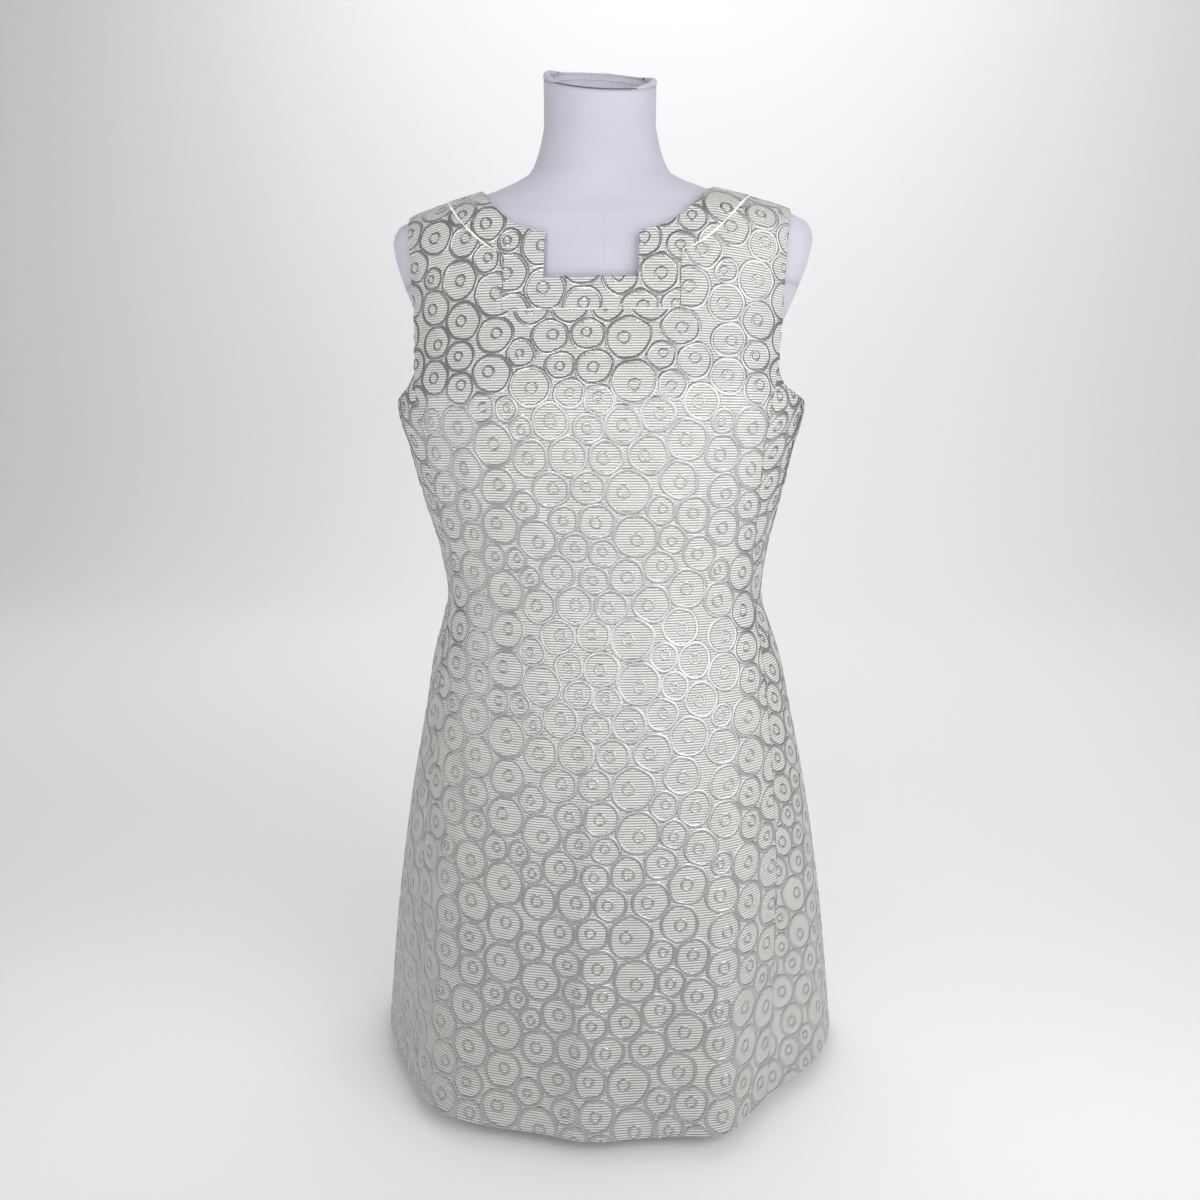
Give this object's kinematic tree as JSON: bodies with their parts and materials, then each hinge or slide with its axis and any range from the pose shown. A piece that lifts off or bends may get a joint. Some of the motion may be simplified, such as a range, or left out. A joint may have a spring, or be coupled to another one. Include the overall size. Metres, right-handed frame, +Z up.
{
  "type": "sheath dress on dress form",
  "caption": "Sleeveless brocade sheath dress with a square-notched neck band and back zip, worn by a limbless jersey-covered dress form on a low round stand.",
  "frame": {"origin": "on the supporting surface, under the middle of the whole part", "axes": "+Z up, -Y the wearer's front, +X the wearer's left"},
  "size_m": [0.4732, 0.3244, 0.9686],
  "materials": {
    "brocade_front": "ribbed brocade with a raised satin ring pattern",
    "brocade_back_left": "ribbed brocade with a raised satin ring pattern",
    "brocade_back_right": "ribbed brocade with a raised satin ring pattern",
    "brocade_band_front": "ribbed brocade with a raised satin ring pattern",
    "brocade_band_back_left": "ribbed brocade with a raised satin ring pattern",
    "brocade_band_back_right": "ribbed brocade with a raised satin ring pattern",
    "tape": "woven zip tape",
    "slider": "plated",
    "pull": "plated",
    "jersey": "fine knitted jersey",
    "jersey_rim": "rolled jersey edge",
    "post": "satin",
    "base": "satin"
  },
  "bodies": {
    "dress_and_form": {"front_panel": "brocade_front", "back_panel_left": "brocade_back_left", "back_panel_right": "brocade_back_right", "neck_band_front": "brocade_band_front", "neck_band_back_left": "brocade_band_back_left", "neck_band_back_right": "brocade_band_back_right", "zip_tape": "tape", "zip_slider": "slider", "form_torso": "jersey", "form_neck_rim": "jersey_rim", "form_post": "post", "form_base": "base"},
    "pull_tab": {"zip_pull": "pull"}
  },
  "joints": [
    {"name": "pull_hinge", "type": "hinge", "parent": "dress_and_form", "child": "pull_tab", "pos_m": [-0.0072, 0.10576, 0.81342], "axis": [1, 0, 0], "range_deg": [0, 130]}
  ]
}
